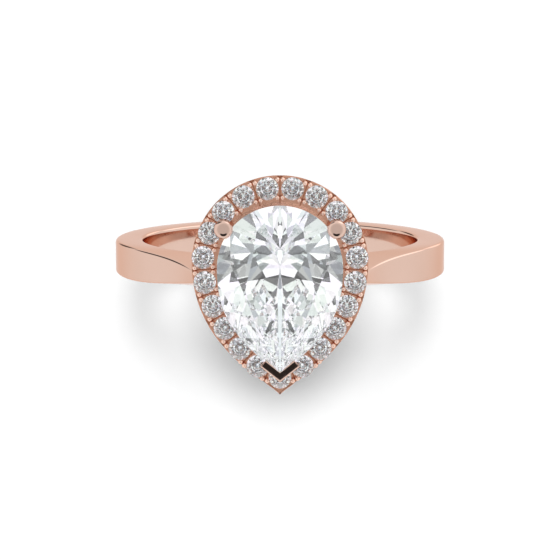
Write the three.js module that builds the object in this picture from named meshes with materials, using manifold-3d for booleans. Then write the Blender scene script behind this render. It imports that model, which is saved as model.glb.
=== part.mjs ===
// Pear halo engagement ring, in millimetres. The origin is the centre of the finger hole, +Y runs along the
// finger towards the round end of the pear, and +Z points up through the head.
import * as THREE from "three";
import { mergeVertices } from "three/addons/utils/BufferGeometryUtils.js";
import Module from "manifold-3d";

const wasm = await Module();
wasm.setup();

// ---- Shank and cathedral shoulders
const fingerRadius = 8.25;
const shankThickness = 1.66;
const shankWidth = 2.0;
const shankEdgeFillet = 0.22;
const bridgeThickness = 0.95; // metal between the finger and the flat seat under the head
const seatMargin = 0.93; // flat seat beyond the base rail, on each side
const shoulderTaperDeg = 48; // round the finger, over which the outer face narrows to the ridge
const shoulderRiseDeg = 30; // round the finger, over which the shoulder rises from the round of the shank
const shoulderRidgeWidth = 0.44;
const shoulderInset = 0.36; // ridge in from the rim of the halo, where they meet
const shoulderTopLength = 0.87;
const shoulderRisePower = 3; // how late the shoulder climbs
const shoulderTaperPower = 2.2; // how late its outer face narrows
const shoulderReach = 0.1; // the shoulder's line runs on this far above the underside of the halo
const archFootDeg = 11; // round the finger, from the end of the shoulder to the foot of the window behind it
const archFootShare = 1.01; // of the seat's height, out along that angle
const archWallBulge = 0.9; // height over the seat where the wall behind the shoulder is fullest
const archWallLean = 0.1;
const archFloorReach = 0.8; // run-out from the end of the seat down to the foot of the window
const archFloorDrop = 0.65;
const shankSteps = 104;

// ---- Centre stone, a pear brilliant
const stoneWidth = 7.04;
const stoneLength = 9.52;
const stoneGirdle = 0.15;
const stoneCrown = 0.96;
const stonePavilion = 2.9;
const stoneTableShare = 0.57;
const roundEndY = 0.8; // centre of the stone's round end
const culetShift = 0.05; // culet from that centre, towards the round end
const culetGap = 0.4; // from the seat under the head up to the culet

// ---- Halo of round brilliants, set lower than the centre stone
const meleeRadius = 0.64;
const meleeGap = 0.13; // between the girdles of two neighbours
const meleeTableShare = 0.55;
const meleeGirdle = 0.03;
const meleeCrown = 0.2;
const meleePavilion = 0.54;
const meleeDrop = 0.6; // melee girdle below the centre stone's
const meleeStandOff = 0.17; // melee girdles outside the centre stone's round end
const meleeTipTuck = 0.39; // how far the melee stone at the tip tucks in under the point of the centre stone
const meleeLineShift = 0.12; // line of melee stones from the centre stone, towards the round end
const haloRimShift = 0.02; // rim from the line of melee stones, the same way
const haloRimTrim = 0.02; // the rim is cut back this far inside the melee girdles
const haloTipLength = 0.43; // metal beyond the melee stone at the tip
const haloThickness = 0.62;
const haloTopDrop = 0.08; // top of the halo below the melee girdles
const haloInset = 0.3; // the bearing edge of the halo reaches this far in under the centre stone
const seatDrillRadius = 0.24;
const seatConeShare = 0.62; // of the pavilion depth, down to the drilled hole

// ---- Micro-prongs, four at each gap between two melee stones
const prongRadius = 0.13;
const prongStandOff = 0.107; // prong centre outside the melee girdle
const prongPitch = 0.3; // between the two prongs of a pair, across the cut that parts them
const prongOverGirdle = 0.14;
const prongDomeShare = 0.6; // of the prong's radius: height of its rounded end, and width of the flat on it
const prongCrown = 0.02;

// ---- Claws
const clawStemRadius = 0.24;
const clawHeadRadius = 0.53;
const clawOverStone = 0.32; // claw tops above the upper edge of the girdle
const clawOutset = 0.22; // centre of the wire outside the girdle
const clawHeadShift = 0.1; // centre of the head from the wire, outward
const clawBite = 0.06; // how deep the wire sits in its notch in each rail
const clawLean = 0.05; // outward, over the height of the base rail
const clawRoot = 0.2; // how far the wire runs up into its head
const clawDomeShare = 0.6; // of the head's radius: height of its dome
const clawAzimuthDeg = 34.4; // above +X, seen from the centre of the round end, before it moves to a gap
const vClawOutset = 0.43; // point of the V outside the point of the stone
const vClawHalfDeg = 50;
const vClawArm = 1.42;
const vClawWidth = 0.5;
const vClawRim = 0.07;
const vLedge = 0.25;
const vStemWall = 0.3;
const vStemArm = 0.8;
const vLegRadius = 0.22;
const vLegRoot = 0.1; // how far the leg runs up into the stem

// ---- Rails under the stone, each a smaller copy of the stone's outline
const baseRailInset = 1.55;
const baseRailWidth = 0.62;
const baseRailHeight = 0.6;
const galleryInset = 0.42;
const galleryWidth = 0.55;
const galleryHeight = 0.5;
const galleryDrop = 0.4; // gallery rail below the halo

const clearance = 0.03; // round whatever one piece is cut to fit
const jointGap = 0.03; // between faces that meet

// ---- Worked out from the sizes above
const meleeSpacing = 2 * meleeRadius + meleeGap;
const prongReach = Math.sqrt((meleeRadius + prongStandOff) ** 2 - (meleeSpacing / 2 - prongPitch / 2) ** 2);
const seatZ = fingerRadius + bridgeThickness;
const railBottomZ = seatZ + jointGap;
const stoneGirdleZ = seatZ + culetGap + stonePavilion;
const meleeGirdleZ = stoneGirdleZ - meleeDrop;
const haloTopZ = meleeGirdleZ - haloTopDrop;
const haloBottomZ = haloTopZ - haloThickness;
const galleryBottomZ = haloBottomZ - galleryDrop - galleryHeight;
const prongTopZ = meleeGirdleZ + prongOverGirdle;
const clawHeadBottomZ = meleeGirdleZ + meleeGirdle + meleeCrown + jointGap;
const clawHeadTopZ = stoneGirdleZ + stoneGirdle + clawOverStone;

// A pear outline: a round end about (0, centreY), and a flank whose two handles are shares of its length.
const stone = {
  radius: stoneWidth / 2,
  centreY: roundEndY,
  tipY: roundEndY + stoneWidth / 2 - stoneLength,
  flank: 0.49,
  point: 0.5,
  tipHalfDeg: 50,
};
const meleeLine = {
  radius: stone.radius + meleeStandOff + meleeRadius,
  centreY: stone.centreY + meleeLineShift,
  tipY: stone.tipY - meleeRadius + meleeTipTuck,
  flank: 0.416,
  point: 0.24,
  tipHalfDeg: 85,
};
const haloRim = {
  radius: meleeLine.radius + meleeRadius - haloRimTrim,
  centreY: meleeLine.centreY + haloRimShift,
  tipY: meleeLine.tipY - meleeRadius - haloTipLength,
  flank: 0.64,
  point: 0.145,
  tipHalfDeg: 40,
};
const culetY = stone.centreY + culetShift;
const tableCentreY = (stone.centreY + stone.tipY) / 4; // the table is the outline shrunk towards this point
const vClawApexY = stone.tipY - vClawOutset;
const vStemApexY = meleeLine.tipY + meleeRadius + 2 * clearance;
const seatHalfLength = stone.radius - baseRailInset + seatMargin;
const shoulderEndX = haloRim.radius - shoulderInset;
const shoulderEndZ = haloBottomZ + shoulderReach;
const shoulderEndDeg = (Math.atan2(shoulderEndZ, shoulderEndX) * 180) / Math.PI;
const shoulderEndRadius = Math.hypot(shoulderEndZ, shoulderEndX);
const shankRadius = fingerRadius + shankThickness;

// ---- Materials
const roseGold = new THREE.MeshStandardMaterial({ color: 0xe0b29c, roughness: 0.12, metalness: 1 });
const diamond = new THREE.MeshStandardMaterial({ color: 0xf1f4f7, roughness: 0.02, metalness: 0 });

const radians = THREE.MathUtils.degToRad;

// ---------------------------------------------------------------- closed meshes and booleans

function closed(geometry) {
  const bare = geometry.clone();
  bare.deleteAttribute("normal");
  bare.deleteAttribute("uv");
  return mergeVertices(bare, 1e-4);
}

function solidFrom(geometry) {
  const merged = closed(geometry);
  return new wasm.Manifold(
    new wasm.Mesh({
      numProp: 3,
      vertProperties: new Float32Array(merged.attributes.position.array),
      triVerts: new Uint32Array(merged.index.array),
    }),
  );
}

function geometryFrom(solid) {
  const { vertProperties, triVerts } = solid.getMesh();
  const geometry = new THREE.BufferGeometry();
  geometry.setAttribute("position", new THREE.BufferAttribute(vertProperties, 3));
  geometry.setIndex(new THREE.BufferAttribute(triVerts, 1));
  const flat = geometry.toNonIndexed();
  flat.computeVertexNormals();
  return flat;
}

function join(solids) {
  return solids.reduce((sum, next) => sum.add(next));
}

function cut(solid, cutters) {
  return cutters.reduce((left, next) => left.subtract(next), solid);
}

function named(name, geometry, material) {
  const mesh = new THREE.Mesh(geometry, material);
  mesh.name = name;
  return mesh;
}

// ---------------------------------------------------------------- pear outlines

// The right half of a pear, from the middle of its round end to its point: a quarter circle, then one
// Bezier flank whose two handles are shares of its length.
function pearHalf({ radius, centreY, tipY, flank, point, tipHalfDeg }) {
  const length = centreY - tipY;
  const angle = radians(tipHalfDeg);
  const widest = new THREE.Vector2(radius, centreY);
  const tip = new THREE.Vector2(0, tipY);
  const upper = new THREE.Vector2(radius, centreY - flank * length);
  const lower = new THREE.Vector2(point * length * Math.sin(angle), tipY + point * length * Math.cos(angle));
  const path = new THREE.CurvePath();
  path.add(new THREE.EllipseCurve(0, centreY, radius, radius, Math.PI / 2, 0, true));
  path.add(new THREE.CubicBezierCurve(widest, upper, lower, tip));
  path.arcLengthDivisions = 400;
  return path;
}

// A point at a share of the whole way round, clockwise from the middle of the round end.
function pearPoint(half, share) {
  const turn = ((share % 1) + 1) % 1;
  const onLeft = turn > 0.5;
  const at = half.getPointAt(Math.min(1, 2 * (onLeft ? 1 - turn : turn)));
  return new THREE.Vector2(onLeft ? -at.x : at.x, at.y);
}

function pearLoop(pear, steps) {
  const half = pearHalf(pear);
  return Array.from({ length: steps }, (_, i) => pearPoint(half, 1 - i / steps));
}

function insetPear(pear, inset) {
  const tipInset = inset / Math.sin(radians(pear.tipHalfDeg));
  return { ...pear, radius: pear.radius - inset, tipY: pear.tipY + tipInset };
}

// A flat pear-shaped ring between two outlines.
function pearRing(outer, inner, bottomZ, height, steps) {
  const shape = new THREE.Shape(pearLoop(outer, steps));
  shape.holes.push(new THREE.Path(pearLoop(inner, steps)));
  const geometry = new THREE.ExtrudeGeometry(shape, { depth: height, bevelEnabled: false });
  geometry.translate(0, 0, bottomZ);
  return solidFrom(geometry);
}

// ---------------------------------------------------------------- brilliants

const MAINS = 8; // bezel facets, with as many stars and pavilion mains

function lineCrossing(a, alongA, b, alongB) {
  const cross = alongA.x * alongB.y - alongA.y * alongB.x;
  const t = ((b.x - a.x) * alongB.y - (b.y - a.y) * alongB.x) / cross;
  return new THREE.Vector2(a.x + t * alongA.x, a.y + t * alongA.y);
}

// One side of a brilliant, crown or pavilion. Each main facet is the plane through a girdle point, parallel
// to the girdle there, and through the matching inner point; two neighbours meet at a corner at cornerZ, and
// the half facets fill in between that corner and the girdle.
function mainCorners(outline, inner, girdleZ, innerZ, cornerZ) {
  const share = (cornerZ - girdleZ) / (innerZ - girdleZ);
  const mains = Array.from({ length: MAINS }, (_, i) => {
    const at = outline(i / MAINS);
    const along = outline((i + 0.02) / MAINS).sub(outline((i - 0.02) / MAINS));
    return { at: at.clone().lerp(inner[i], share), along };
  });
  return mains.map((main, i) => {
    const next = mains[(i + 1) % MAINS];
    const meet = lineCrossing(main.at, main.along, next.at, next.along);
    return new THREE.Vector3(meet.x, meet.y, cornerZ);
  });
}

// The girdle edge from one girdle corner to the next, kept on the plane of the half facet inside it.
function girdleArc(outline, from, to, steps, z, corner) {
  const start = outline(from);
  const end = outline(to);
  const plane = new THREE.Plane().setFromCoplanarPoints(
    new THREE.Vector3(start.x, start.y, z),
    new THREE.Vector3(end.x, end.y, z),
    corner,
  );
  return Array.from({ length: steps + 1 }, (_, k) => {
    const p = k === 0 ? start : k === steps ? end : outline(from + ((to - from) * k) / steps);
    const onPlane = -(plane.constant + plane.normal.x * p.x + plane.normal.y * p.y) / plane.normal.z;
    return new THREE.Vector3(p.x, p.y, k % steps === 0 ? z : onPlane);
  });
}

function brilliant({ outline, centre, culet, tableShare, girdleZ, girdle, crown, pavilion, arcSteps }) {
  const starDrop = 0.42; // share of the crown height that the star facets take
  const lowerReach = 0.74; // share of the pavilion depth that the lower half facets take
  const topZ = girdleZ + girdle;
  const tableZ = topZ + crown;
  const culetZ = girdleZ - pavilion;
  const tableRing = Array.from({ length: MAINS }, (_, i) =>
    outline(i / MAINS).sub(centre).multiplyScalar(tableShare).add(centre),
  );
  const culetRing = tableRing.map(() => culet);
  const stars = mainCorners(outline, tableRing, topZ, tableZ, tableZ - starDrop * crown);
  const lowers = mainCorners(outline, culetRing, girdleZ, culetZ, girdleZ - lowerReach * pavilion);
  const table = tableRing.map((p) => new THREE.Vector3(p.x, p.y, tableZ));
  const bottom = new THREE.Vector3(culet.x, culet.y, culetZ);
  const tris = [];
  const face = (...corners) => {
    for (let k = 1; k + 1 < corners.length; k++) tris.push(corners[0], corners[k], corners[k + 1]);
  };
  face(...[...table].reverse());
  for (let i = 0; i < MAINS; i++) {
    const next = (i + 1) % MAINS;
    const before = (i + MAINS - 1) % MAINS;
    const here = outline(i / MAINS);
    const onTop = new THREE.Vector3(here.x, here.y, topZ);
    const below = new THREE.Vector3(here.x, here.y, girdleZ);
    face(table[i], table[next], stars[i]);
    face(onTop, stars[before], table[i], stars[i]);
    face(below, lowers[i], bottom, lowers[before]);
    for (const [from, to] of [[i, i + 0.5], [i + 0.5, i + 1]]) {
      const upper = girdleArc(outline, from / MAINS, to / MAINS, arcSteps, topZ, stars[i]);
      const lower = girdleArc(outline, from / MAINS, to / MAINS, arcSteps, girdleZ, lowers[i]);
      face(stars[i], ...[...upper].reverse());
      face(lowers[i], ...lower);
      for (let k = 0; k < arcSteps; k++) face(lower[k], upper[k], upper[k + 1], lower[k + 1]);
    }
  }
  const geometry = new THREE.BufferGeometry();
  geometry.setFromPoints(tris);
  geometry.computeVertexNormals();
  return geometry;
}

// The stone and everything cut to fit round it come from the same outline, grown by the clearance.
function centreStone(grow) {
  const half = pearHalf(insetPear(stone, -grow));
  return brilliant({
    outline: (share) => pearPoint(half, share),
    centre: new THREE.Vector2(0, tableCentreY),
    culet: new THREE.Vector2(0, culetY),
    tableShare: stoneTableShare,
    girdleZ: stoneGirdleZ - grow,
    girdle: stoneGirdle + 2 * grow,
    crown: stoneCrown,
    pavilion: stonePavilion,
    arcSteps: 3,
  });
}

function meleeStone(grow) {
  const radius = meleeRadius + grow;
  return brilliant({
    outline: (share) => {
      const angle = Math.PI / 2 - 2 * Math.PI * share;
      return new THREE.Vector2(radius * Math.cos(angle), radius * Math.sin(angle));
    },
    centre: new THREE.Vector2(0, 0),
    culet: new THREE.Vector2(0, 0),
    tableShare: meleeTableShare,
    girdleZ: -grow,
    girdle: meleeGirdle + 2 * grow,
    crown: meleeCrown,
    pavilion: meleePavilion,
    arcSteps: 1,
  });
}

// The direction along an outline at a share of the way round it.
function pearAlong(half, share) {
  const step = 0.002;
  return pearPoint(half, share + step).sub(pearPoint(half, share - step)).normalize();
}

// As many stones as the line holds at their spacing, an odd number so that one sits at the point.
function meleeCountOn(half) {
  return 2 * Math.round(half.getLength() / meleeSpacing - 0.5) + 1;
}

// Each melee stone's place and its direction along the line of stones, clockwise from the round end.
function meleePlaces() {
  const half = pearHalf(meleeLine);
  const meleeCount = meleeCountOn(half);
  return Array.from({ length: meleeCount }, (_, i) => {
    const share = (i + 0.5) / meleeCount;
    return { at: pearPoint(half, share), along: pearAlong(half, share) };
  });
}

// ---------------------------------------------------------------- shank

// How far up the flank a point of the ring is, in degrees above the X axis on either side.
function flankDeg(angle) {
  return THREE.MathUtils.radToDeg(Math.asin(Math.sin(angle)));
}

function shankOuterRadius(angle) {
  const share = THREE.MathUtils.clamp(1 - (shoulderEndDeg - flankDeg(angle)) / shoulderRiseDeg, 0, 1);
  return shankRadius + (shoulderEndRadius - shankRadius) * share ** shoulderRisePower;
}

function shankOuterHalfWidth(angle) {
  const share = THREE.MathUtils.clamp(1 - (shoulderEndDeg - flankDeg(angle)) / shoulderTaperDeg, 0, 1);
  return shankWidth / 2 - (shankWidth / 2 - shoulderRidgeWidth / 2) * share ** shoulderTaperPower;
}

// A corner rounded by a quadratic curve that sets off by the same length along both its sides.
function roundedCorner(from, corner, to, setback, steps) {
  const start = corner.clone().add(from.clone().sub(corner).setLength(setback));
  const end = corner.clone().add(to.clone().sub(corner).setLength(setback));
  return new THREE.QuadraticBezierCurve(start, corner, end).getPoints(steps);
}

// The section of the shank as (radius, y): full width at the finger, narrower outside.
function shankSection(angle) {
  const outer = shankOuterRadius(angle);
  const halfOuter = shankOuterHalfWidth(angle);
  const corners = [
    new THREE.Vector2(fingerRadius, -shankWidth / 2),
    new THREE.Vector2(outer, -halfOuter),
    new THREE.Vector2(outer, halfOuter),
    new THREE.Vector2(fingerRadius, shankWidth / 2),
  ];
  return corners.flatMap((corner, i) => {
    const setback = i === 1 || i === 2 ? Math.min(shankEdgeFillet, 0.7 * halfOuter) : shankEdgeFillet;
    return roundedCorner(corners[(i + 3) % 4], corner, corners[(i + 1) % 4], setback, 2);
  });
}

function shankBand() {
  const rings = Array.from({ length: shankSteps }, (_, i) => {
    const angle = (2 * Math.PI * (i + 0.5)) / shankSteps;
    return shankSection(angle).map(
      (p) => new THREE.Vector3(p.x * Math.cos(angle), p.y, p.x * Math.sin(angle)),
    );
  });
  const tris = [];
  rings.forEach((ring, i) => {
    const next = rings[(i + 1) % shankSteps];
    ring.forEach((a, k) => {
      const m = (k + 1) % ring.length;
      tris.push(a, ring[m], next[m], a, next[m], next[k]);
    });
  });
  return new THREE.BufferGeometry().setFromPoints(tris);
}

// Everything above the seat and between the shoulders, and all that would reach into the halo.
function headWell() {
  const topZ = haloBottomZ - jointGap;
  const highZ = clawHeadTopZ;
  const foot = radians(shoulderEndDeg - archFootDeg);
  const footX = seatZ * archFootShare * Math.cos(foot);
  const footZ = seatZ * archFootShare * Math.sin(foot);
  const neckX = shoulderEndX - shoulderTopLength;
  const wallX = neckX + archWallLean;
  const wallZ = seatZ + archWallBulge;
  const floorX = seatHalfLength + archFloorReach;
  const floorZ = seatZ - archFloorDrop;
  const shape = new THREE.Shape();
  shape.moveTo(-shankRadius, highZ);
  shape.lineTo(-shankRadius, topZ);
  shape.lineTo(-neckX, topZ);
  shape.quadraticCurveTo(-wallX, wallZ, -footX, footZ);
  shape.quadraticCurveTo(-floorX, floorZ, -seatHalfLength, seatZ);
  shape.lineTo(seatHalfLength, seatZ);
  shape.quadraticCurveTo(floorX, floorZ, footX, footZ);
  shape.quadraticCurveTo(wallX, wallZ, neckX, topZ);
  shape.lineTo(shankRadius, topZ);
  shape.lineTo(shankRadius, highZ);
  const depth = shankWidth * 2;
  const geometry = new THREE.ExtrudeGeometry(shape, { depth, bevelEnabled: false, curveSegments: 8 });
  geometry.rotateX(Math.PI / 2);
  geometry.translate(0, depth / 2, 0);
  return solidFrom(geometry);
}

function shank() {
  return solidFrom(shankBand()).subtract(headWell());
}

// ---------------------------------------------------------------- head

// Direction of the claws from the centre of the round end: through the gap between two melee stones that lies
// nearest to the chosen direction.
function gapNearest(wanted) {
  const half = pearHalf(meleeLine);
  const count = meleeCountOn(half);
  const directions = Array.from({ length: Math.floor(count / 2) }, (_, i) => {
    const gap = pearPoint(half, (i + 1) / count);
    return Math.atan2(gap.y - stone.centreY, gap.x);
  });
  return directions.reduce((a, b) => (Math.abs(b - wanted) < Math.abs(a - wanted) ? b : a));
}

const clawAzimuth = gapNearest(radians(clawAzimuthDeg));

function clawPlace(side) {
  const out = stone.radius + clawOutset + clawHeadShift;
  return new THREE.Vector2(side * out * Math.cos(clawAzimuth), stone.centreY + out * Math.sin(clawAzimuth));
}

// A round claw: a wire notched into both rails, upright past the halo, with a domed button over the stone.
function roundClaw(side, grow) {
  const head = clawPlace(side);
  const atBase = stone.radius - baseRailInset + clawStemRadius - clawBite;
  const atGallery = stone.radius - galleryInset + clawStemRadius - clawBite;
  const upright = stone.radius + clawOutset;
  const stations = [
    [atBase, railBottomZ],
    [atBase + clawLean, railBottomZ + baseRailHeight],
    [atGallery, galleryBottomZ + galleryHeight / 2],
    [upright, haloBottomZ],
    [upright, clawHeadBottomZ + clawRoot],
  ];
  const path = new THREE.CatmullRomCurve3(
    stations.map(
      ([out, z]) =>
        new THREE.Vector3(side * out * Math.cos(clawAzimuth), stone.centreY + out * Math.sin(clawAzimuth), z),
    ),
  );
  const wire = new THREE.Shape().absarc(0, 0, clawStemRadius + grow, 0, 2 * Math.PI);
  const stem = new THREE.ExtrudeGeometry(wire, { extrudePath: path, steps: 16, curveSegments: 5 });
  const profile = [new THREE.Vector2(0, clawHeadBottomZ - grow)];
  profile.push(new THREE.Vector2(clawHeadRadius + grow, clawHeadBottomZ - grow));
  const dome = clawHeadRadius + grow;
  const domeHeight = clawDomeShare * dome;
  const shoulderZ = clawHeadTopZ + grow - domeHeight;
  for (let k = 0; k <= 4; k++) {
    const angle = (k / 4) * (Math.PI / 2);
    const radius = k === 4 ? 0 : dome * Math.cos(angle);
    profile.push(new THREE.Vector2(radius, shoulderZ + domeHeight * Math.sin(angle)));
  }
  const button = new THREE.LatheGeometry(profile, 16);
  button.rotateX(Math.PI / 2);
  button.translate(head.x, head.y, 0);
  return solidFrom(stem).add(solidFrom(button));
}

// A V-shaped bar seen from above, its point at apexY and its arms along the two flanks of the stone.
function vShape(apexY, arm, width) {
  const angle = radians(vClawHalfDeg);
  const along = new THREE.Vector2(Math.sin(angle), Math.cos(angle));
  const inward = new THREE.Vector2(-Math.cos(angle), Math.sin(angle));
  const end = along.clone().multiplyScalar(arm).add(new THREE.Vector2(0, apexY));
  const inner = end.clone().addScaledVector(inward, width);
  return new THREE.Shape([
    new THREE.Vector2(0, apexY),
    end,
    inner,
    new THREE.Vector2(0, apexY + width / Math.sin(angle)),
    new THREE.Vector2(-inner.x, inner.y),
    new THREE.Vector2(-end.x, end.y),
  ]);
}

function vPlate(apexY, arm, width, bottomZ, height, grow) {
  const apexShift = grow / Math.sin(radians(vClawHalfDeg));
  const shape = vShape(apexY - apexShift, arm + 2 * grow, width + 2 * grow);
  const plate = new THREE.ExtrudeGeometry(shape, { depth: height + 2 * grow, bevelEnabled: false });
  plate.translate(0, 0, bottomZ - grow);
  return solidFrom(plate);
}

function vLeg(grow) {
  const base = insetPear(stone, baseRailInset);
  const stemMiddleY = vStemApexY + vStemWall;
  const railMiddleZ = railBottomZ + baseRailHeight / 2;
  const path = new THREE.QuadraticBezierCurve3(
    new THREE.Vector3(0, stemMiddleY, galleryBottomZ + vLegRoot),
    new THREE.Vector3(0, stemMiddleY, railMiddleZ),
    new THREE.Vector3(0, base.tipY + clawBite, railMiddleZ),
  );
  const wire = new THREE.Shape().absarc(0, 0, vLegRadius + grow, 0, 2 * Math.PI);
  return solidFrom(new THREE.ExtrudeGeometry(wire, { extrudePath: path, steps: 8, curveSegments: 4 }));
}

// The claw at the point: a bevelled V over the stone, a ledge in under it, a V-shaped stem down through the
// gallery rail, inside the melee stone at the tip, and a round leg on to the base rail.
function vClaw(grow) {
  const sine = Math.sin(radians(vClawHalfDeg));
  const capShape = vShape(
    vClawApexY + (vClawRim - grow) / sine,
    vClawArm - vClawRim + 2 * grow,
    vClawWidth - 2 * vClawRim + 2 * grow,
  );
  const capHeight = clawHeadTopZ - clawHeadBottomZ;
  const cap = new THREE.ExtrudeGeometry(capShape, {
    depth: capHeight - 2 * vClawRim + 2 * grow,
    bevelThickness: vClawRim,
    bevelSize: vClawRim,
    bevelSegments: 1,
  });
  cap.translate(0, 0, clawHeadBottomZ + vClawRim - grow);
  const ledgeWidth = (vStemApexY - vClawApexY) * sine + vStemWall;
  const stemHeight = clawHeadBottomZ + vLedge - galleryBottomZ;
  return join([
    solidFrom(cap),
    vPlate(vClawApexY + vClawRim / sine, vClawArm - vStemWall, ledgeWidth, clawHeadBottomZ, vLedge, grow),
    vPlate(vStemApexY, vStemArm, vStemWall, galleryBottomZ, stemHeight, grow),
    vLeg(grow),
  ]);
}

// The seat of one melee stone: room for the stone, open above it, and the drilled hole below its culet.
function meleeSeat() {
  const radius = meleeRadius + clearance;
  const drillZ = haloBottomZ - meleeGirdleZ - haloThickness;
  const profile = [
    new THREE.Vector2(0, drillZ),
    new THREE.Vector2(seatDrillRadius, drillZ),
    new THREE.Vector2(seatDrillRadius, -meleePavilion * seatConeShare),
    new THREE.Vector2(radius, -clearance),
    new THREE.Vector2(radius, meleeGirdle + clearance),
    new THREE.Vector2(radius * meleeTableShare, meleeGirdle + meleeCrown + clearance),
    new THREE.Vector2(0, meleeGirdle + meleeCrown + clearance),
  ];
  const seat = new THREE.LatheGeometry(profile, 16);
  seat.rotateX(Math.PI / 2);
  return seat;
}

function atMelee(geometry, { at, along }) {
  const placed = geometry.clone();
  placed.rotateZ(Math.atan2(along.y, along.x));
  placed.translate(at.x, at.y, meleeGirdleZ);
  return placed;
}

// The four prongs at the gap after one stone, less any that a claw head stands over.
function prongsAtGap(share, half, keepOut) {
  const middle = pearPoint(half, share);
  const along = pearAlong(half, share);
  const outward = new THREE.Vector2(-along.y, along.x);
  const prongs = [];
  for (const across of [-1, 1]) {
    for (const side of [-0.5, 0.5]) {
      const at = middle.clone().addScaledVector(outward, across * prongReach);
      at.addScaledVector(along, side * prongPitch);
      if (keepOut.every((claw) => claw.distanceTo(at) > clawHeadRadius + prongRadius)) prongs.push(at);
    }
  }
  return prongs;
}

function prong(at) {
  const bottomZ = (haloBottomZ + haloTopZ) / 2;
  const shoulderZ = prongTopZ - prongRadius * prongDomeShare;
  const profile = [
    new THREE.Vector2(0, bottomZ),
    new THREE.Vector2(prongRadius, bottomZ),
    new THREE.Vector2(prongRadius, shoulderZ),
    new THREE.Vector2(prongRadius * prongDomeShare, prongTopZ - prongCrown),
    new THREE.Vector2(0, prongTopZ),
  ];
  const geometry = new THREE.LatheGeometry(profile, 6);
  geometry.rotateX(Math.PI / 2);
  geometry.translate(at.x, at.y, 0);
  return solidFrom(geometry);
}

function halo(places, cutters) {
  const plate = pearRing(haloRim, insetPear(stone, haloInset), haloBottomZ, haloTopZ - haloBottomZ, 72);
  const half = pearHalf(meleeLine);
  const claws = [clawPlace(-1), clawPlace(1)];
  const gaps = places.map((_, i) => i / places.length);
  const prongs = gaps.flatMap((share) => prongsAtGap(share, half, claws)).map(prong);
  const seat = meleeSeat();
  const seats = places.map((place) => solidFrom(atMelee(seat, place)));
  return cut(join([plate, ...prongs]), [...seats, ...cutters]);
}

function rail(inset, width, bottomZ, height, cutters) {
  const outer = insetPear(stone, inset);
  return cut(pearRing(outer, insetPear(outer, width), bottomZ, height, 48), cutters);
}

// ---------------------------------------------------------------- assembly

const ring = new THREE.Group();
const places = meleePlaces();
const stoneRoom = solidFrom(centreStone(clearance));
const clawRooms = [roundClaw(-1, clearance), roundClaw(1, clearance)];
const vClawRoom = vClaw(clearance);
const headCutters = [stoneRoom, ...clawRooms, vClawRoom];

ring.add(named("shank", geometryFrom(shank()), roseGold));
ring.add(
  named(
    "base_rail",
    geometryFrom(rail(baseRailInset, baseRailWidth, railBottomZ, baseRailHeight, headCutters)),
    roseGold,
  ),
);
ring.add(
  named(
    "gallery_rail",
    geometryFrom(rail(galleryInset, galleryWidth, galleryBottomZ, galleryHeight, headCutters)),
    roseGold,
  ),
);
ring.add(named("halo", geometryFrom(halo(places, headCutters)), roseGold));
ring.add(named("claw_left", geometryFrom(roundClaw(-1, 0).subtract(stoneRoom)), roseGold));
ring.add(named("claw_right", geometryFrom(roundClaw(1, 0).subtract(stoneRoom)), roseGold));
ring.add(named("v_claw", geometryFrom(vClaw(0).subtract(stoneRoom)), roseGold));
ring.add(named("centre_stone", centreStone(0), diamond));

const melee = meleeStone(0);
places.forEach((place, i) => {
  const mesh = named(`melee_${String(i + 1).padStart(2, "0")}`, melee, diamond);
  mesh.position.set(place.at.x, place.at.y, meleeGirdleZ);
  mesh.rotation.z = Math.atan2(place.along.y, place.along.x);
  ring.add(mesh);
});

export default ring;
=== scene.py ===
"""Looks of the pear halo engagement ring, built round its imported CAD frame."""

import math

import bmesh
import bpy
from mathutils import Matrix, Vector


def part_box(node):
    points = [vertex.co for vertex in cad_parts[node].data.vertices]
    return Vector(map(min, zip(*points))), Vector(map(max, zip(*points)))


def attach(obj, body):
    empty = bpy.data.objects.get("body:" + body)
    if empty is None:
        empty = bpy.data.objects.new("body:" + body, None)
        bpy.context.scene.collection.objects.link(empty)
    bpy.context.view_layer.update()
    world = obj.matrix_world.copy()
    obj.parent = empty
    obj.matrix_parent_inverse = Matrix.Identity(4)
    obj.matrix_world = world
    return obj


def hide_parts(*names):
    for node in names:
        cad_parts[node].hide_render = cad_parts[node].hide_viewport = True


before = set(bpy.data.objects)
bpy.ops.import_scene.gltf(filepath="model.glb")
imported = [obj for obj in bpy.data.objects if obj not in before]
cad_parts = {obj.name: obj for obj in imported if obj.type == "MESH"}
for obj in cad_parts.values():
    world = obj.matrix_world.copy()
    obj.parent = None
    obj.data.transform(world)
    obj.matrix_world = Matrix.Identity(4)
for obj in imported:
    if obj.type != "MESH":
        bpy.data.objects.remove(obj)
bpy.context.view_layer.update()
MM = 0.001

# ---- Camera
CAMERA_TILT_DEG = 7.3  # off the vertical, towards the round end of the pear
CAMERA_DISTANCE = 160.0
CAMERA_SHIFT = -0.0463  # of the view's width: the finger's axis sits above the middle of the picture
VIEW_WIDTH = 33.84
SENSOR_WIDTH = 36.0

# ---- Shank and shoulders
SHANK_THICKNESS = 1.655
SHANK_FILLET = 0.22
FILLET_LIMIT = 0.7  # of half the width, where the shoulder is narrow
SHOULDER_TAPER_DEG = 48
SHOULDER_RISE_DEG = 30
RIDGE_WIDTH = 0.44
RIDGE_INSET = 0.36
SHOULDER_TOP = 0.87
RISE_POWER = 3
TAPER_POWER = 2.2
SHOULDER_REACH = 0.1
ARCH_FOOT_DEG = 11
ARCH_FOOT_SHARE = 1.01
SEAT_MARGIN = 0.93
ARCH_BOW = (0.1, 0.9)  # beside the neck and over the seat: where the window's inner curve is drawn to
FLOOR_BOW = (0.8, 0.65)  # beside the seat's end and under the seat: the same for its foot
ARCH_STEPS = 24
WELL_HEADROOM = 3.0
SHANK_STEPS = 360
FILLET_STEPS = 6
JOINT_GAP = 0.03

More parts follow.
